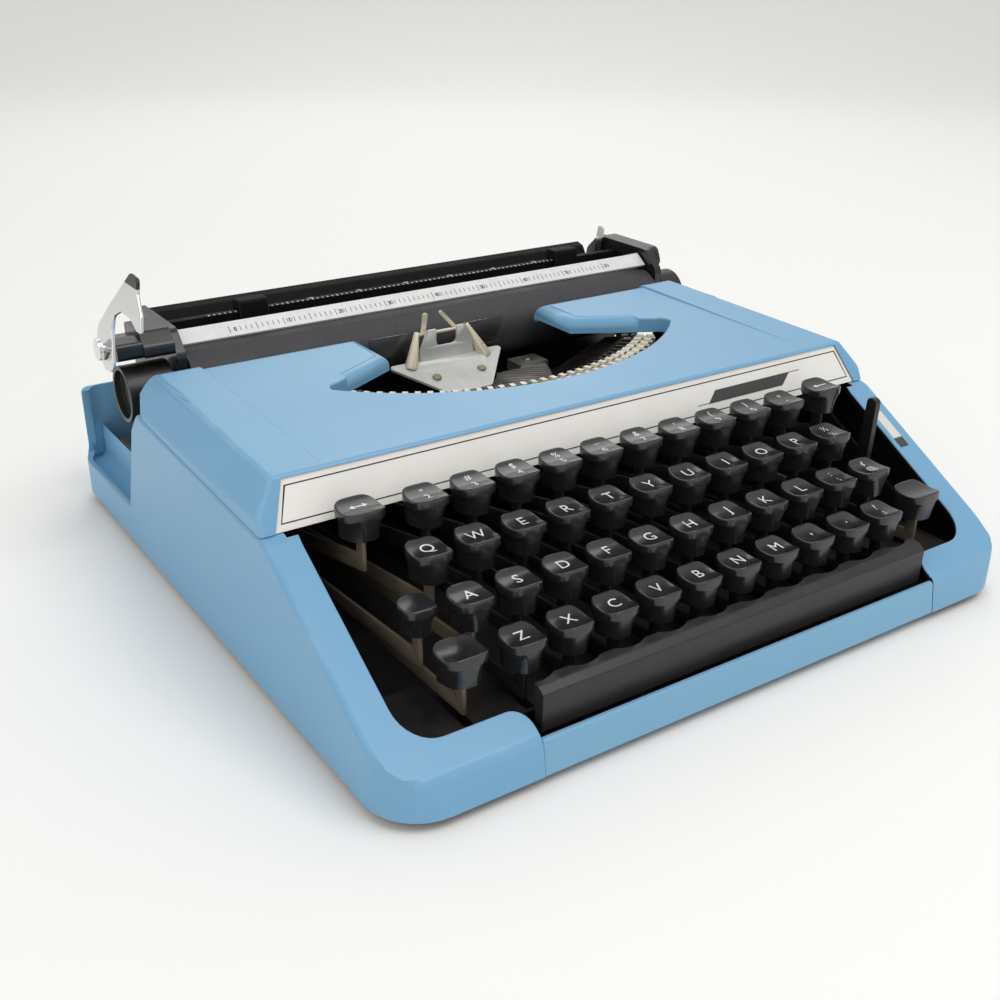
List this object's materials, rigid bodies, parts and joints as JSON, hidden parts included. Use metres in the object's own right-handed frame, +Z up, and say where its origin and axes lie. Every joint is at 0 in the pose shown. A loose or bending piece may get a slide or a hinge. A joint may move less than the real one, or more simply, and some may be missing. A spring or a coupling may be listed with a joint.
{
  "type": "portable typewriter",
  "caption": "Portable manual typewriter with a low moulded shell, hinged ribbon cover, sliding carriage with platen and line space lever, and a lever keyboard.",
  "frame": {"origin": "middle of the footprint, on the table that the rubber feet stand on", "axes": "+X to the typist's right, +Y from the keyboard to the back, +Z up"},
  "size_m": [0.3071, 0.306, 0.1284],
  "materials": {
    "shell_blue": "satin moulded",
    "fascia_silver": "satin",
    "frame_black": "satin black",
    "steel": "brushed",
    "rubber_black": "matte",
    "key_black": "gloss",
    "knob_black": "satin",
    "chrome_plate": "polished",
    "scale_white": "satin"
  },
  "bodies": {
    "housing": {"base_shell": "shell_blue", "front_strip": "shell_blue", "bottom_pan": "frame_black", "rubber_feet": "rubber_black", "chassis_frame": "frame_black", "type_segment": "steel", "typebars": "steel", "type_guide": "steel"},
    "cover": {"top_cover": "shell_blue", "fascia": "fascia_silver"},
    "carriage": {"carriage_frame": "frame_black", "paper_table": "frame_black"},
    "platen": {"platen": "rubber_black", "platen_knobs": "knob_black"},
    "bail": {"paper_bail": "scale_white"},
    "line_space_lever": {"return_lever": "chrome_plate"},
    "paper_release": {"paper_release": "chrome_plate"},
    "left_margin_stop": {"margin_stop_left": "knob_black"},
    "right_margin_stop": {"margin_stop_right": "knob_black"},
    "left_spool": {"ribbon_spool_left": "steel"},
    "right_spool": {"ribbon_spool_right": "steel"},
    "space_bar": {"space_bar": "key_black"},
    "shift_keys": {"shift_keys": "key_black"},
    "shift_lock": {"shift_lock": "key_black"},
    "margin_release": {"margin_release_key": "key_black"},
    "backspace": {"backspace_key": "key_black"},
    "ribbon_selector": {"ribbon_selector": "knob_black"},
    "number_keys": {"number_keys": "key_black"},
    "key_q": {"key_q": "key_black"},
    "key_w": {"key_w": "key_black"},
    "key_e": {"key_e": "key_black"},
    "key_r": {"key_r": "key_black"},
    "key_t": {"key_t": "key_black"},
    "key_y": {"key_y": "key_black"},
    "key_u": {"key_u": "key_black"},
    "key_i": {"key_i": "key_black"},
    "key_o": {"key_o": "key_black"},
    "key_p": {"key_p": "key_black"},
    "key_half": {"key_half": "key_black"},
    "key_a": {"key_a": "key_black"},
    "key_s": {"key_s": "key_black"},
    "key_d": {"key_d": "key_black"},
    "key_f": {"key_f": "key_black"},
    "key_g": {"key_g": "key_black"},
    "key_h": {"key_h": "key_black"},
    "key_j": {"key_j": "key_black"},
    "key_k": {"key_k": "key_black"},
    "key_l": {"key_l": "key_black"},
    "key_semicolon": {"key_semicolon": "key_black"},
    "key_at": {"key_at": "key_black"},
    "key_z": {"key_z": "key_black"},
    "key_x": {"key_x": "key_black"},
    "key_c": {"key_c": "key_black"},
    "key_v": {"key_v": "key_black"},
    "key_b": {"key_b": "key_black"},
    "key_n": {"key_n": "key_black"},
    "key_m": {"key_m": "key_black"},
    "key_comma": {"key_comma": "key_black"},
    "key_period": {"key_period": "key_black"},
    "key_slash": {"key_slash": "key_black"}
  },
  "joints": [
    {"name": "carriage_travel", "type": "slide", "parent": "housing", "child": "carriage", "axis": [-1, 0, 0], "range_m": [-0.09, 0.11]},
    {"name": "cover_hinge", "type": "hinge", "parent": "housing", "child": "cover", "pos_m": [0, 0.0545, 0.077], "axis": [-1, 0, 0], "range_deg": [0, 60]},
    {"name": "bail_lift", "type": "hinge", "parent": "carriage", "child": "bail", "pos_m": [0.01, 0.092, 0.088], "axis": [-1, 0, 0], "range_deg": [0, 70]},
    {"name": "platen_turn", "type": "hinge", "parent": "carriage", "child": "platen", "pos_m": [0.01, 0.079, 0.072], "axis": [1, 0, 0], "continuous": true},
    {"name": "line_space_lever_swing", "type": "hinge", "parent": "carriage", "child": "line_space_lever", "pos_m": [-0.147, 0.0755, 0.094], "axis": [1, 0, 0], "range_deg": [0, 25], "stiffness_Nm_per_rad": 0.1, "springref_deg": -17.19},
    {"name": "paper_release_swing", "type": "hinge", "parent": "carriage", "child": "paper_release", "pos_m": [0.135, 0.116, 0.084], "axis": [1, 0, 0], "range_deg": [0, 18]},
    {"name": "left_margin_slide", "type": "slide", "parent": "carriage", "child": "left_margin_stop", "axis": [1, 0, 0], "range_m": [-0.035, 0.06]},
    {"name": "right_margin_slide", "type": "slide", "parent": "carriage", "child": "right_margin_stop", "axis": [1, 0, 0], "range_m": [-0.06, 0.024]},
    {"name": "left_spool_turn", "type": "hinge", "parent": "housing", "child": "left_spool", "pos_m": [-0.106, -0.006, 0.065], "axis": [0, 0, 1], "continuous": true},
    {"name": "right_spool_turn", "type": "hinge", "parent": "housing", "child": "right_spool", "pos_m": [0.106, -0.006, 0.065], "axis": [0, 0, 1], "continuous": true},
    {"name": "ribbon_selector_swing", "type": "hinge", "parent": "housing", "child": "ribbon_selector", "pos_m": [0.1195, -0.091, 0.02], "axis": [1, 0, 0], "range_deg": [-12, 12]},
    {"name": "space_bar_press", "type": "hinge", "parent": "housing", "child": "space_bar", "pos_m": [0, 0.088, 0.016], "axis": [1, 0, 0], "range_deg": [0, 1.2], "stiffness_Nm_per_rad": 1.5, "springref_deg": -5.73},
    {"name": "shift_press", "type": "hinge", "parent": "housing", "child": "shift_keys", "pos_m": [0, 0.088, 0.016], "axis": [1, 0, 0], "range_deg": [0, 2.14], "stiffness_Nm_per_rad": 1.5, "springref_deg": -5.73},
    {"name": "shift_lock_press", "type": "hinge", "parent": "housing", "child": "shift_lock", "pos_m": [0, 0.088, 0.016], "axis": [1, 0, 0], "range_deg": [0, 2.33], "stiffness_Nm_per_rad": 0.5, "springref_deg": -5.73},
    {"name": "margin_release_press", "type": "hinge", "parent": "housing", "child": "margin_release", "pos_m": [0, 0.088, 0.016], "axis": [1, 0, 0], "range_deg": [0, 2.79], "stiffness_Nm_per_rad": 0.5, "springref_deg": -5.73},
    {"name": "backspace_press", "type": "hinge", "parent": "housing", "child": "backspace", "pos_m": [0, 0.088, 0.016], "axis": [1, 0, 0], "range_deg": [0, 2.74], "stiffness_Nm_per_rad": 0.5, "springref_deg": -5.73},
    {"name": "number_keys_press", "type": "hinge", "parent": "housing", "child": "number_keys", "pos_m": [0, 0.088, 0.016], "axis": [1, 0, 0], "range_deg": [0, 2.76], "stiffness_Nm_per_rad": 3, "springref_deg": -5.73},
    {"name": "key_q_press", "type": "hinge", "parent": "housing", "child": "key_q", "pos_m": [0, 0.088, 0.016], "axis": [1, 0, 0], "range_deg": [0, 2.49], "stiffness_Nm_per_rad": 0.5, "springref_deg": -5.73},
    {"name": "key_w_press", "type": "hinge", "parent": "housing", "child": "key_w", "pos_m": [0, 0.088, 0.016], "axis": [1, 0, 0], "range_deg": [0, 2.49], "stiffness_Nm_per_rad": 0.5, "springref_deg": -5.73},
    {"name": "key_e_press", "type": "hinge", "parent": "housing", "child": "key_e", "pos_m": [0, 0.088, 0.016], "axis": [1, 0, 0], "range_deg": [0, 2.49], "stiffness_Nm_per_rad": 0.5, "springref_deg": -5.73},
    {"name": "key_r_press", "type": "hinge", "parent": "housing", "child": "key_r", "pos_m": [0, 0.088, 0.016], "axis": [1, 0, 0], "range_deg": [0, 2.49], "stiffness_Nm_per_rad": 0.5, "springref_deg": -5.73},
    {"name": "key_t_press", "type": "hinge", "parent": "housing", "child": "key_t", "pos_m": [0, 0.088, 0.016], "axis": [1, 0, 0], "range_deg": [0, 2.49], "stiffness_Nm_per_rad": 0.5, "springref_deg": -5.73},
    {"name": "key_y_press", "type": "hinge", "parent": "housing", "child": "key_y", "pos_m": [0, 0.088, 0.016], "axis": [1, 0, 0], "range_deg": [0, 2.49], "stiffness_Nm_per_rad": 0.5, "springref_deg": -5.73},
    {"name": "key_u_press", "type": "hinge", "parent": "housing", "child": "key_u", "pos_m": [0, 0.088, 0.016], "axis": [1, 0, 0], "range_deg": [0, 2.49], "stiffness_Nm_per_rad": 0.5, "springref_deg": -5.73},
    {"name": "key_i_press", "type": "hinge", "parent": "housing", "child": "key_i", "pos_m": [0, 0.088, 0.016], "axis": [1, 0, 0], "range_deg": [0, 2.49], "stiffness_Nm_per_rad": 0.5, "springref_deg": -5.73},
    {"name": "key_o_press", "type": "hinge", "parent": "housing", "child": "key_o", "pos_m": [0, 0.088, 0.016], "axis": [1, 0, 0], "range_deg": [0, 2.49], "stiffness_Nm_per_rad": 0.5, "springref_deg": -5.73},
    {"name": "key_p_press", "type": "hinge", "parent": "housing", "child": "key_p", "pos_m": [0, 0.088, 0.016], "axis": [1, 0, 0], "range_deg": [0, 2.49], "stiffness_Nm_per_rad": 0.5, "springref_deg": -5.73},
    {"name": "key_half_press", "type": "hinge", "parent": "housing", "child": "key_half", "pos_m": [0, 0.088, 0.016], "axis": [1, 0, 0], "range_deg": [0, 2.49], "stiffness_Nm_per_rad": 0.5, "springref_deg": -5.73},
    {"name": "key_a_press", "type": "hinge", "parent": "housing", "child": "key_a", "pos_m": [0, 0.088, 0.016], "axis": [1, 0, 0], "range_deg": [0, 2.27], "stiffness_Nm_per_rad": 0.5, "springref_deg": -5.73},
    {"name": "key_s_press", "type": "hinge", "parent": "housing", "child": "key_s", "pos_m": [0, 0.088, 0.016], "axis": [1, 0, 0], "range_deg": [0, 2.27], "stiffness_Nm_per_rad": 0.5, "springref_deg": -5.73},
    {"name": "key_d_press", "type": "hinge", "parent": "housing", "child": "key_d", "pos_m": [0, 0.088, 0.016], "axis": [1, 0, 0], "range_deg": [0, 2.27], "stiffness_Nm_per_rad": 0.5, "springref_deg": -5.73},
    {"name": "key_f_press", "type": "hinge", "parent": "housing", "child": "key_f", "pos_m": [0, 0.088, 0.016], "axis": [1, 0, 0], "range_deg": [0, 2.27], "stiffness_Nm_per_rad": 0.5, "springref_deg": -5.73},
    {"name": "key_g_press", "type": "hinge", "parent": "housing", "child": "key_g", "pos_m": [0, 0.088, 0.016], "axis": [1, 0, 0], "range_deg": [0, 2.27], "stiffness_Nm_per_rad": 0.5, "springref_deg": -5.73},
    {"name": "key_h_press", "type": "hinge", "parent": "housing", "child": "key_h", "pos_m": [0, 0.088, 0.016], "axis": [1, 0, 0], "range_deg": [0, 2.27], "stiffness_Nm_per_rad": 0.5, "springref_deg": -5.73},
    {"name": "key_j_press", "type": "hinge", "parent": "housing", "child": "key_j", "pos_m": [0, 0.088, 0.016], "axis": [1, 0, 0], "range_deg": [0, 2.27], "stiffness_Nm_per_rad": 0.5, "springref_deg": -5.73},
    {"name": "key_k_press", "type": "hinge", "parent": "housing", "child": "key_k", "pos_m": [0, 0.088, 0.016], "axis": [1, 0, 0], "range_deg": [0, 2.27], "stiffness_Nm_per_rad": 0.5, "springref_deg": -5.73},
    {"name": "key_l_press", "type": "hinge", "parent": "housing", "child": "key_l", "pos_m": [0, 0.088, 0.016], "axis": [1, 0, 0], "range_deg": [0, 2.27], "stiffness_Nm_per_rad": 0.5, "springref_deg": -5.73},
    {"name": "key_semicolon_press", "type": "hinge", "parent": "housing", "child": "key_semicolon", "pos_m": [0, 0.088, 0.016], "axis": [1, 0, 0], "range_deg": [0, 2.27], "stiffness_Nm_per_rad": 0.5, "springref_deg": -5.73},
    {"name": "key_at_press", "type": "hinge", "parent": "housing", "child": "key_at", "pos_m": [0, 0.088, 0.016], "axis": [1, 0, 0], "range_deg": [0, 2.27], "stiffness_Nm_per_rad": 0.5, "springref_deg": -5.73},
    {"name": "key_z_press", "type": "hinge", "parent": "housing", "child": "key_z", "pos_m": [0, 0.088, 0.016], "axis": [1, 0, 0], "range_deg": [0, 2.1], "stiffness_Nm_per_rad": 0.5, "springref_deg": -5.73},
    {"name": "key_x_press", "type": "hinge", "parent": "housing", "child": "key_x", "pos_m": [0, 0.088, 0.016], "axis": [1, 0, 0], "range_deg": [0, 2.1], "stiffness_Nm_per_rad": 0.5, "springref_deg": -5.73},
    {"name": "key_c_press", "type": "hinge", "parent": "housing", "child": "key_c", "pos_m": [0, 0.088, 0.016], "axis": [1, 0, 0], "range_deg": [0, 2.1], "stiffness_Nm_per_rad": 0.5, "springref_deg": -5.73},
    {"name": "key_v_press", "type": "hinge", "parent": "housing", "child": "key_v", "pos_m": [0, 0.088, 0.016], "axis": [1, 0, 0], "range_deg": [0, 2.1], "stiffness_Nm_per_rad": 0.5, "springref_deg": -5.73},
    {"name": "key_b_press", "type": "hinge", "parent": "housing", "child": "key_b", "pos_m": [0, 0.088, 0.016], "axis": [1, 0, 0], "range_deg": [0, 2.1], "stiffness_Nm_per_rad": 0.5, "springref_deg": -5.73},
    {"name": "key_n_press", "type": "hinge", "parent": "housing", "child": "key_n", "pos_m": [0, 0.088, 0.016], "axis": [1, 0, 0], "range_deg": [0, 2.1], "stiffness_Nm_per_rad": 0.5, "springref_deg": -5.73},
    {"name": "key_m_press", "type": "hinge", "parent": "housing", "child": "key_m", "pos_m": [0, 0.088, 0.016], "axis": [1, 0, 0], "range_deg": [0, 2.1], "stiffness_Nm_per_rad": 0.5, "springref_deg": -5.73},
    {"name": "key_comma_press", "type": "hinge", "parent": "housing", "child": "key_comma", "pos_m": [0, 0.088, 0.016], "axis": [1, 0, 0], "range_deg": [0, 2.1], "stiffness_Nm_per_rad": 0.5, "springref_deg": -5.73},
    {"name": "key_period_press", "type": "hinge", "parent": "housing", "child": "key_period", "pos_m": [0, 0.088, 0.016], "axis": [1, 0, 0], "range_deg": [0, 2.1], "stiffness_Nm_per_rad": 0.5, "springref_deg": -5.73},
    {"name": "key_slash_press", "type": "hinge", "parent": "housing", "child": "key_slash", "pos_m": [0, 0.088, 0.016], "axis": [1, 0, 0], "range_deg": [0, 2.1], "stiffness_Nm_per_rad": 0.5, "springref_deg": -5.73}
  ],
  "couplings": [
    {"joint": "right_spool_turn", "follows": "left_spool_turn", "ratio": 1}
  ]
}
